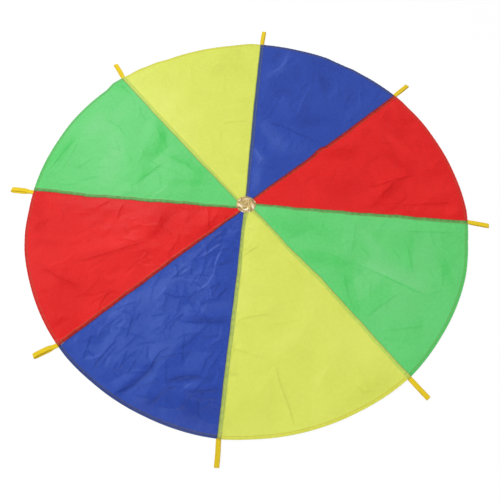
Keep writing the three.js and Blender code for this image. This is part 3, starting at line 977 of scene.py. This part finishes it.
class Nodes:
    """The nodes of a material or of the world, under construction"""

    def __init__(self, owner):
        owner.use_nodes = True
        self.tree = owner.node_tree

    def node(self, kind, inputs=None, **settings):
        made = self.tree.nodes.new(kind)
        for label, value in settings.items():
            setattr(made, label, value)
        for label, value in (inputs or {}).items():
            if isinstance(value, bpy.types.NodeSocket):
                self.tree.links.new(value, made.inputs[label])
            else:
                made.inputs[label].default_value = value
        return made

    def math(self, operation, *values):
        return self.node("ShaderNodeMath", dict(enumerate(values)), operation=operation).outputs[0]

    def show(self, lit, seen, share, output):
        """Lights the part with one shader, and shows the camera a share of another, also when reflected"""
        rays = self.node("ShaderNodeLightPath").outputs
        total = self.math("MAXIMUM", rays["Is Camera Ray"], rays["Is Glossy Ray"])
        total = self.math("MAXIMUM", total, rays["Is Transmission Ray"])
        total = self.math("MULTIPLY", total, share)
        blend = self.node("ShaderNodeMixShader", {0: total, 1: lit.outputs[0], 2: seen.outputs[0]})
        self.tree.links.new(blend.outputs[0], output.inputs["Surface"])


class Finish(Nodes):
    """A material around one shader"""

    def __init__(self, name, **settings):
        self.material = bpy.data.materials.new(name)
        super().__init__(self.material)
        self.shader = self.tree.nodes["Principled BSDF"]
        for label, value in settings.items():
            self.shader.inputs[label.replace("_", " ")].default_value = value

    def attribute(self, name, output="Fac"):
        return self.node("ShaderNodeAttribute", attribute_name=name).outputs[output]

    def noise(self, place, scale, detail=3.0):
        inputs = {"Vector": place, "Scale": scale, "Detail": detail}
        return self.node("ShaderNodeTexNoise", inputs).outputs["Fac"]

    def varied(self, low, high, place, scale, detail=3.0):
        """Values from low to high, by the middle of a noise's range"""
        value = self.noise(place, scale, detail)
        inputs = {"Value": value, "From Min": 0.3, "From Max": 0.7, "To Min": low, "To Max": high}
        return self.node("ShaderNodeMapRange", inputs).outputs[0]

    def mix(self, share, first, second):
        return self.node("ShaderNodeMix", {0: share, 6: first, 7: second}, data_type="RGBA").outputs[2]

    def valued(self, shade, value):
        return self.node("ShaderNodeHueSaturation", {"Color": shade, "Value": value}).outputs[0]

    def scaled(self, place, factors):
        return self.node("ShaderNodeVectorMath", {0: place, 1: factors}, operation="MULTIPLY").outputs[0]

    def wave(self, place, period, direction):
        inputs = {"Vector": place, "Scale": math.pi / (10 * period)}
        return self.node("ShaderNodeTexWave", inputs, bands_direction=direction).outputs["Fac"]

    def weave(self, place, period):
        return self.math("ADD", self.wave(place, period, "X"), self.wave(place, period, "Y"))

    def bump(self, height, distance, strength, under=None):
        inputs = {"Height": height, "Distance": distance, "Strength": strength}
        if under is not None:
            inputs["Normal"] = under
        return self.node("ShaderNodeBump", inputs).outputs["Normal"]

    def done(self, **sockets):
        for label, value in sockets.items():
            self.tree.links.new(value, self.shader.inputs[label.replace("_", " ")])
        return self.material


def cloth_finish(name, colour, band_colours):
    """Thin coated taffeta. band_colours are those of the bands over its first and its last seam."""
    look = LOOKS[colour]
    finish = Finish(name, Specular_IOR_Level=look.shine, Sheen_Weight=0.02, Sheen_Roughness=0.4)
    place = finish.attribute("weave", "Vector")
    # The line attribute is painted light and shade: above zero it turns the cloth to its painted-light
    # colour, below zero to its painted-shade colour
    line = finish.attribute("line")
    light = finish.math("MAXIMUM", line, 0.0)
    shade = finish.mix(light, opaque(look.cloth), opaque(look.light))
    dark = finish.math("MAXIMUM", finish.math("MULTIPLY", line, -1.0), 0.0)
    shade = finish.mix(dark, shade, opaque(look.dark))
    shade = finish.mix(finish.attribute("hem"), shade, opaque(look.hem))
    for label, band in zip(("band_first", "band_last"), band_colours):
        if band is not None:
            shade = finish.mix(finish.attribute(label), shade, opaque(band))
    # Stitch tint: thread colour with painted shade along the stitch lines
    shade = finish.mix(finish.attribute("stitch"), shade, opaque(STITCH_LOOK))
    clouds = finish.varied(0.98, 1.02, place, 9.0, 4.0)
    yarns = finish.varied(0.97, 1.03, finish.scaled(place, (40, 900, 1)), 1.0, 2.0)
    # Painted shade: the cloth is darkened along each seam, where shade falls in the seam's groove
    pressed = finish.math("SUBTRACT", 1.0, finish.attribute("pressed"))
    value = finish.math("MULTIPLY", finish.math("MULTIPLY", clouds, yarns), pressed)
    rough = finish.varied(0.22, 0.32, place, 60.0)
    normal = finish.bump(finish.weave(place, 0.6 * MM), 0.03 * MM, 0.35)
    normal = finish.bump(finish.noise(place, 130.0, 4.0), 0.5 * MM, 0.1, normal)
    return finish.done(Base_Color=finish.valued(shade, value), Roughness=rough, Normal=normal)


def webbing_finish():
    """Woven strap: ribs across, two-step weave, edges a little deeper in colour"""
    finish = Finish("webbing", Specular_IOR_Level=0.15, Sheen_Weight=0.06, Sheen_Roughness=0.5)
    place = finish.attribute("weave", "Vector")
    shade = finish.mix(finish.attribute("edge"), opaque((0.78, 0.57, 0.018)), opaque((0.7, 0.46, 0.012)))
    yarns = finish.varied(0.9, 1.08, finish.scaled(place, (150, 700, 1)), 1.0)
    # Painted light and shade: each strap's colour is scaled by how brightly it is lit
    value = finish.math("MULTIPLY", yarns, finish.attribute("tone"))
    rough = finish.varied(0.6, 0.8, place, 300.0)
    ribs = finish.math("MULTIPLY", finish.wave(place, 1.5 * MM, "X"), finish.wave(place, 2.2 * MM, "Y"))
    normal = finish.bump(ribs, 0.25 * MM, 0.7)
    return finish.done(Base_Color=finish.valued(shade, value), Roughness=rough, Normal=normal)


def thread_finish():
    finish = Finish("thread", Roughness=0.7, Specular_IOR_Level=0.25, Sheen_Weight=0.2)
    place = finish.node("ShaderNodeTexCoord").outputs["Object"]
    shade = finish.mix(finish.noise(place, 600.0), opaque((0.3, 0.16, 0.05)), opaque((0.42, 0.25, 0.1)))
    return finish.done(Base_Color=shade, Normal=finish.bump(finish.noise(place, 3000.0), 0.1 * MM, 0.4))


def gold_finish():
    """Shiny gold cloth, creased like foil, with a painted highlight along the folds that stand up and painted
    shade in its valleys and sunk folds
    """
    finish = Finish("hub_gold", Metallic=0.45, Specular_IOR_Level=0.5, Coat_Weight=0.4, Coat_Roughness=0.12)
    place = finish.attribute("weave", "Vector")
    # Painted shade: darker brown in the pleats' valleys, the sunk folds and the low crumples
    shade = finish.mix(finish.attribute("fold"), opaque((0.45, 0.32, 0.105)), opaque((0.24, 0.13, 0.036)))
    shade = finish.valued(shade, finish.varied(0.88, 1.1, place, 90.0))
    # Painted highlight: a pale gold glint along the standing folds
    shade = finish.mix(finish.attribute("shine"), shade, opaque((0.8, 0.72, 0.53)))
    rough = finish.varied(0.2, 0.4, place, 160.0)
    cells = {"Vector": place, "Scale": 170.0}
    crinkle = finish.node("ShaderNodeTexVoronoi", cells, feature="DISTANCE_TO_EDGE").outputs["Distance"]
    normal = finish.bump(crinkle, 0.8 * MM, 0.45)
    normal = finish.bump(finish.weave(place, 0.8 * MM), 0.03 * MM, 0.3, normal)
    return finish.done(Base_Color=shade, Roughness=rough, Normal=normal)


def half_of(gore):
    return "far_half" if gore < COUNT // 2 else "near_half"


def follow_canopy(piece, gore, crosses_fold):
    if crosses_fold:
        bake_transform(piece)
    else:
        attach(piece, half_of(gore))
    return piece


def gore_crosses(gore):
    return gore in FOLD_SEAMS or (gore + 1) % COUNT in FOLD_SEAMS


# Canopy


def seam_band(index):
    return BANDS[GORES[band_gore(index)].colour, GORES[other_gore(index)].colour]


def build_gore(gore):
    colour = GORES[gore].colour
    flat, faces = gore_mesh(gore)
    points, line = cloth_surface(flat, gore)
    plan = points[:, :2]
    radius, _, _, to_first, to_last = polar(flat, gore)
    looks = [seam_band(index).look if band_gore(index) == gore else None for index in (gore, gore + 1)]
    material = cloth_finish(f"cloth_{gore + 1}_{colour}", colour, looks)
    attributes = {
        "weave": weave_place(flat, gore),
        # line: painted light and shade of creases, facets, folds and patches
        "line": np.clip(GORES[gore].lines * line + patch_tones(plan) + fold_tones(plan), -1, 1),
        "hem": smooth(CANOPY_RADIUS - radius, HEM_WIDTH, HEM_WIDTH - EDGE_SOFTNESS),
        "band_first": band_tone(to_first, radius, gore),
        "band_last": band_tone(to_last, radius, gore + 1),
        "pressed": np.zeros(len(flat)),
        "stitch": np.zeros(len(flat)),
    }
    for index, distance in ((gore, to_first), (gore + 1, to_last)):
        band = seam_band(index)
        # Painted shade along each seam
        attributes["pressed"] += band.pressed * bell(distance, PAINTED_SEAM_SHADE_REACH)
        if band_gore(index) == gore:
            outer = band_width(radius) - STITCH_INSET
            # Stitch tint along both stitch lines: thread colour with painted shade
            attributes["stitch"] += band.inner * bell(distance - STITCH_INSET, STITCH_TINT)
            attributes["stitch"] += band.outer * bell(distance - outer, STITCH_TINT)
    piece = new_piece(f"canopy_{gore + 1}_{colour}", points, faces, material, attributes)
    thicken(piece, CLOTH_THICKNESS)
    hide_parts(f"gore_{gore + 1}_{colour}")
    return follow_canopy(piece, gore, gore_crosses(gore))


def tail_room(index, side):
    """How far a handle's tail reaches into the gore counter-clockwise (1) or clockwise (-1) of its seam"""
    middle = seam_of(index).side * WEB_WIDTH / 2 + LIES[index % COUNT].shift * MM
    return max(0.2 * MM, side * middle + WEB_WIDTH / 2 + 0.7 * MM)


# The rolled hem from side to side: millimetres in from the rim, and below the cloth's upper side
HEM_PROFILE = [(0.9, -0.12), (-0.3, 0.02), (-0.7, 0.45), (-0.3, 0.9), (2.0, 1.05), (8.0, 1.05), (14.0, 1.0)]


def build_hem(gore, material):
    """The rim, rolled over the cloth's edge and turned under"""
    first = seam_angle(gore) + tail_room(gore, 1) / CANOPY_RADIUS
    last = seam_angle(gore + 1) - tail_room(gore + 1, -1) / CANOPY_RADIUS
    turns = steps_between(first, last, EDGE / CANOPY_RADIUS)
    rows, places = [], []
    for depth, sink in HEM_PROFILE:
        rows.append(cloth_surface(rim_points(turns, depth * MM), gore, sink * MM)[0])
        places.append(weave_place(rim_points(turns, max(depth, 0.0) * MM), gore))
    attributes = {"weave": np.concatenate(places), "hem": np.ones(len(rows) * len(turns))}
    faces = grid_faces(len(rows), len(turns))
    piece = new_piece(f"rolled_hem_{gore + 1}", np.concatenate(rows), faces, material, attributes)
    thicken(piece, CLOTH_THICKNESS)
    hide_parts(f"hem_{gore + 1}")
    return follow_canopy(piece, gore, gore_crosses(gore))


def build_seam(index, material):
    """The folded allowances, stitched down under one gore"""
    gore = band_gore(index)
    side = seam_of(index).side
    along = steps_between(SEAM_STRIP_START, CANOPY_RADIUS - TAIL_LENGTH - 1 * MM, EDGE)
    rows, places = [], []
    for distance in STRIP_ROWS:
        flat = seam_points(index, along, side * distance * MM)
        rows.append(cloth_surface(flat, gore, SEAM_STRIP_SINK)[0])
        places.append(weave_place(flat, gore))
    faces = grid_faces(len(rows), len(along))
    if side < 0:
        faces = [face[::-1] for face in faces]
    attributes = {"weave": np.concatenate(places)}
    piece = new_piece(f"felled_seam_{index + 1}", np.concatenate(rows), faces, material, attributes)
    thicken(piece, TURNED_THICKNESS)
    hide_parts(f"seam_{index + 1}")
    return follow_canopy(piece, gore, index in FOLD_SEAMS)


# Thread


def sewn_piece(name, gore, rows, width, material, crosses_fold):
    """Stitches that lie on the cloth of a gore, in rows of flat start points and flat end points"""
    starts, ends = (cloth_surface(np.concatenate(flat), gore)[0] for flat in zip(*rows))
    points, faces = [], []
    for start, end in zip(starts, ends):
        faces += [tuple(len(points) + i for i in face) for face in CAPSULE_FACES]
        points += capsule(start, end, width)
    return follow_canopy(new_piece(name, points, faces, material), gore, crosses_fold)


def seam_row(index, along, across, half, lean=0.0):
    """Stitches at a seam, by the places of their middles, half their length and how far their ends lean"""
    side = seam_of(index).side
    starts = seam_points(index, along - half, side * (across - lean))
    return starts, seam_points(index, along + half, side * (across + lean))


def build_seam_thread(index, material):
    along = np.arange(SEAM_STRIP_START, CANOPY_RADIUS - 4 * MM, STITCH_PITCH)
    insets = (STITCH_INSET, band_width(along) - STITCH_INSET)
    rows = [seam_row(index, along, inset, STITCH_LENGTH / 2) for inset in insets]
    name = f"seam_stitches_{index + 1}"
    return sewn_piece(name, band_gore(index), rows, SEAM_THREAD, material, index in FOLD_SEAMS)


def build_hem_thread(gore, material):
    depth = HEM_STITCH_DEPTH
    radius = CANOPY_RADIUS - depth
    pitch, half = STITCH_PITCH / radius, STITCH_LENGTH / 2 / radius
    turns = np.arange(seam_angle(gore) + pitch / 2, seam_angle(gore + 1) - pitch / 2, pitch)
    rows = [(rim_points(turns - half, depth), rim_points(turns + half, depth))]
    return sewn_piece(f"hem_stitches_{gore + 1}", gore, rows, HEM_THREAD, material, gore_crosses(gore))


def build_tack(index, material):
    """Dense stitching that holds a handle's tail in the hem, in two bars"""
    across = np.arange(1.5 * MM, WEB_WIDTH - 1 * MM, TACK_PITCH)
    places = [CANOPY_RADIUS - depth for depth in (TACK_INSET, TAIL_LENGTH - TACK_INSET)]
    rows = [seam_row(index, along, across, TACK_LENGTH / 2, TACK_LEAN) for along in places]
    name = f"bar_tack_{index + 1}"
    return sewn_piece(name, band_gore(index), rows, SEAM_THREAD, material, index in FOLD_SEAMS)


# Handles


def strap_path(length, loop_height):
    """The doubled strap seen from its side: distance out and height of its middle line"""
    low = WEB_THICKNESS / 2 + 0.1 * MM
    high = loop_height - WEB_THICKNESS / 2
    second = low + WEB_THICKNESS + WEB_GAP
    bend = (high - low) / 2
    tip = length - bend - WEB_THICKNESS / 2
    path = [(out, low) for out in np.arange(-TAIL_LENGTH, tip - 1 * MM, WEB_STEP)]
    for turn in np.linspace(-math.pi / 2, math.pi / 2, 11):
        path.append((tip + bend * math.cos(turn), low + bend * (1 + math.sin(turn))))
    for out in np.arange(tip - WEB_STEP, -TAIL_LENGTH, -WEB_STEP):
        risen = float(smooth(out, LOOP_THROAT, LOOP_THROAT + LOOP_RISE))
        path.append((out, second + (high - second) * risen))
    return np.array(path)


def strap_section():
    """Outline of the strap: sideways reach and thickness, with rounded edges"""
    half_width, half_thick = WEB_WIDTH / 2, WEB_THICKNESS / 2
    across = (0.6, 0.2, -0.2, -0.6)
    section = []
    for side in (1, -1):
        for turn in np.radians(np.linspace(-90, 90, 5)):
            reach = half_width - half_thick + half_thick * math.cos(turn)
            section.append((side * reach, side * half_thick * math.sin(turn)))
        section += [(side * share * half_width, side * half_thick) for share in across]
    return section


def build_handle(index, material):
    """A doubled strap, with its tail in the hem and its loop outside"""
    joint = next(j for j in frame["joints"] if j["name"] == f"handle_{index + 1}_swing")
    hinge = Vector(joint["pos_m"])
    axis = Vector(joint["axis"])
    outward = axis.cross(Vector((0, 0, 1))).normalized()
    lie = LIES[index]
    bow = random.Random(40 + index).uniform(-LOOP_BOW, LOOP_BOW)
    path = strap_path(lie.length * MM, lie.height * MM)
    runs = np.gradient(path, axis=0)
    runs /= np.linalg.norm(runs, axis=1)[:, None]
    lengths = np.concatenate([[0], np.cumsum(np.linalg.norm(np.diff(path, axis=0), axis=1))])
    halfway = lengths[-1] / 2
    section = strap_section()
    points, places, edges = [], [], []
    for (out, height), (run_out, run_up), length in zip(path, runs, lengths):
        free = float(smooth(out, 0, lie.length * MM))
        layer = float(smooth(length, halfway - LOOP_TURN, halfway + LOOP_TURN)) - 0.5
        sideways = lie.shift * MM + max(out, 0) * math.tan(math.radians(lie.turn))
        sideways += bow * math.sin(math.pi * free)
        sideways += lie.slip * MM * layer * float(smooth(out, *SLIP_GROWS))
        for reach, thick in section:
            place = hinge + outward * (out - run_up * thick) + axis * (reach + sideways)
            place.z = height + run_out * thick
            points.append(place)
            places.append((length, reach, 0))
            edges.append(smooth(abs(reach), *WEB_EDGE))
    columns = len(section)
    faces = grid_faces(len(path), columns, closed=True)
    faces.append(tuple(range(columns))[::-1])
    faces.append(tuple(range(len(points) - columns, len(points))))
    # tone: the strap's painted light and shade
    attributes = {"weave": np.array(places), "edge": np.array(edges), "tone": np.full(len(points), lie.tone)}
    piece = new_piece(f"handle_strap_{index + 1}", points, faces, material, attributes)
    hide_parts(f"handle_{index + 1}_tail", f"handle_{index + 1}_loop")
    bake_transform(piece)


# Hub cap


def cap_pleats(share, angle):
    """How high the pleats of the cap's ring stand, from 0 to 1"""
    chance = random.Random(5)
    ridge = np.zeros(len(angle))
    for step in range(CAP_PLEATS):
        centre = 2 * math.pi * (step + chance.uniform(-0.3, 0.3)) / CAP_PLEATS
        width, strength = chance.uniform(0.07, 0.12), chance.uniform(0.5, 1.0)
        away = np.mod(angle + 0.5 * (share - 0.8) - centre + math.pi, 2 * math.pi) - math.pi
        ridge = np.maximum(ridge, strength * bell(away, width))
    return ridge


def cap_folds(flat):
    """How strongly the cap's standing and its sunk folds show, for their height and for their painted
    highlight and painted shade
    """
    shine, sunk = np.zeros(len(flat)), np.zeros(len(flat))
    for width, fold in CAP_FOLDS:
        distance, _, place = crease_place(flat, np.array(fold) * MM)
        strength = grown(np.minimum(place, 1 - place), 0.4, 0, 0.3) * bell(distance, width * MM)
        shown = shine if width > 0 else sunk
        np.maximum(shown, strength, out=shown)
    return shine, sunk


def build_cap(material):
    """Gold cloth drawn together over the hub: a crushed middle and a pleated ring around it"""
    share = np.repeat(np.linspace(0.004, 1, CAP_RINGS), CAP_RAYS)
    angle = np.tile(np.linspace(0, 2 * math.pi, CAP_RAYS, endpoint=False), CAP_RINGS)
    ridge = cap_pleats(share, angle)
    reach = share * CAP_RADIUS * (1 + 0.045 * (ridge - 0.5) + 0.025 * np.cos(2 * angle + 0.5))
    flat = np.column_stack([reach * np.cos(angle), reach * np.sin(angle)])
    crushed, _ = sampled(facet_surface(CAP_CRUSH, 31), flat)
    shine, sunk = cap_folds(flat)
    ring = smooth(share, 0.5, 0.7) * smooth(share, 1.0, 0.94)
    height = CAP_BASE + CAP_THICKNESS + CAP_CROWN * (1 - share**3) ** 0.6
    height += CAP_PLEAT_RISE * (ridge - 0.35) * ring
    height += CAP_CRUSH_RISE * (crushed - 0.45) * smooth(share, 0.05, 0.2) * smooth(share, 1.0, 0.75)
    height += (CAP_FOLD_RISE * shine - CAP_FOLD_DROP * sunk) * smooth(share, 1.0, 0.85)
    points = np.column_stack([flat + CAP_CENTRE, np.maximum(height, CAP_BASE)])
    # Painted shade in the valleys between the pleats
    valley = (1 - ridge) ** 2 * smooth(share, 0.55, 0.8)
    attributes = {
        "weave": np.column_stack([flat, height]),
        # fold: painted shade in valleys, sunk folds and low crumples
        "fold": np.clip(0.6 * valley + 0.9 * sunk + 0.5 * (0.5 - crushed) - shine, 0, 1),
        # shine: painted highlight along the standing folds
        "shine": np.clip(shine - 0.5 * sunk, 0, 1),
    }
    faces = [face[::-1] for face in grid_faces(CAP_RINGS, CAP_RAYS, closed=True)]
    faces.append(tuple(range(CAP_RAYS)))
    piece = thicken(new_piece("hub_cap_cloth", points, faces, material, attributes), CAP_THICKNESS)
    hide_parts("hub_cap_far_half", "hub_cap_near_half")
    return follow_canopy(piece, None, crosses_fold=True)


# Stage: floor and world, lamps and camera
FLOOR_HALF = 30.0
FLOOR_WHITE = (0.98, 0.98, 0.98)
FLOOR_GLOW = 0.9
WORLD_STRENGTH = 0.33
SUN_PLACE = (3 * LIGHT_FROM[0], 3 * LIGHT_FROM[1], 2.2)
SUN_STRENGTH = 2.1
SUN_WIDTH = math.radians(55)
# Lamps: power in watts, width and depth, place, and the point each is turned to
SOFT_BOXES = [
    ("far_left_box", 20, (1.4, 1.4), (-1.6, 2.2, 2.6), (0, 0, 0)),
    ("left_box", 7, (1.5, 1.5), (-2.4, 0.2, 1.9), (0, 0, 0)),
    ("near_left_box", 4, (0.5, 0.5), (-1.5, -2.2, 1.3), (0, 0, 0)),
    ("near_right_box", 4, (0.5, 0.5), (1.5, -2.2, 1.3), (0, 0, 0)),
    ("front_strip", 9, (2.4, 0.2), (0, -1.1, 2.8), (0, -0.9, 0)),
    ("near_strip", 6, (3.2, 0.25), (0, 0.3, 2.7), (0, 0.3, 0)),
    ("middle_strip", 5, (3.2, 0.25), (0, 1.6, 2.7), (0, 1.6, 0)),
    ("far_strip", 4, (3.2, 0.25), (0, 3.0, 2.7), (0, 3.0, 0)),
]
CAMERA_PLACE = (0.107, -1.129, 1.981)
CAMERA_AIM = (0.037, -0.2176, 0)
CAMERA_LENS = 35.8


def build_floor():
    material = bpy.data.materials.new("floor")
    nodes = Nodes(material)
    nodes.tree.nodes.clear()
    diffuse = nodes.node("ShaderNodeBsdfDiffuse", {"Color": opaque(FLOOR_WHITE)})
    glow = nodes.node("ShaderNodeEmission", {"Strength": 1.0})
    nodes.show(diffuse, glow, FLOOR_GLOW, nodes.node("ShaderNodeOutputMaterial"))
    corners = [(x * FLOOR_HALF, y * FLOOR_HALF, 0) for x, y in ((-1, -1), (1, -1), (1, 1), (-1, 1))]
    floor = new_piece("floor", corners, [(0, 1, 2, 3)], material)


def build_world():
    world = bpy.data.worlds.new("studio")
    bpy.context.scene.world = world
    nodes = Nodes(world)
    light = nodes.tree.nodes["Background"]
    light.inputs["Strength"].default_value = WORLD_STRENGTH
    shown = nodes.node("ShaderNodeBackground")
    for background in (light, shown):
        background.inputs["Color"].default_value = opaque((1, 1, 1))
    nodes.show(light, shown, 1.0, nodes.tree.nodes["World Output"])


def aimed(data, place, target):
    """An object for a lamp or a camera, turned to a point"""
    made = bpy.data.objects.new(data.name, data)
    made.location = place
    made.rotation_euler = (Vector(target) - Vector(place)).to_track_quat("-Z", "Y").to_euler()
    bpy.context.scene.collection.objects.link(made)
    return made


def build_lamps():
    sun = bpy.data.lights.new("key", "SUN")
    sun.energy = SUN_STRENGTH
    sun.angle = SUN_WIDTH
    aimed(sun, SUN_PLACE, (0, 0, 0)).visible_glossy = False
    for name, power, size, place, target in SOFT_BOXES:
        box = bpy.data.lights.new(name, "AREA")
        box.energy = power
        box.shape = "RECTANGLE"
        box.size, box.size_y = size
        aimed(box, place, target)


def build_camera():
    data = bpy.data.cameras.new("camera")
    data.sensor_width = 36.0
    data.lens = CAMERA_LENS
    bpy.context.scene.camera = aimed(data, CAMERA_PLACE, CAMERA_AIM)


# Build

build_camera()
build_floor()
build_world()
build_lamps()
bpy.context.scene.view_settings.view_transform = "Standard"

webbing = webbing_finish()
thread = thread_finish()
plain = {colour: cloth_finish(f"turned_{colour}", colour, (None, None)) for colour in LOOKS}

canopy = [build_gore(gore) for gore in range(COUNT)]
sewn = {gore: [] for gore in range(COUNT)}
for gore in range(COUNT):
    sewn[gore].append(build_hem(gore, plain[GORES[gore].colour]))
    sewn[gore].append(build_hem_thread(gore, thread))
for index in range(COUNT):
    sewn[band_gore(index)].append(build_seam(index, plain[GORES[other_gore(index)].colour]))
    sewn[band_gore(index)].append(build_seam_thread(index, thread))
    sewn[band_gore(index)].append(build_tack(index, thread))
    build_handle(index, webbing)
cap = build_cap(gold_finish())
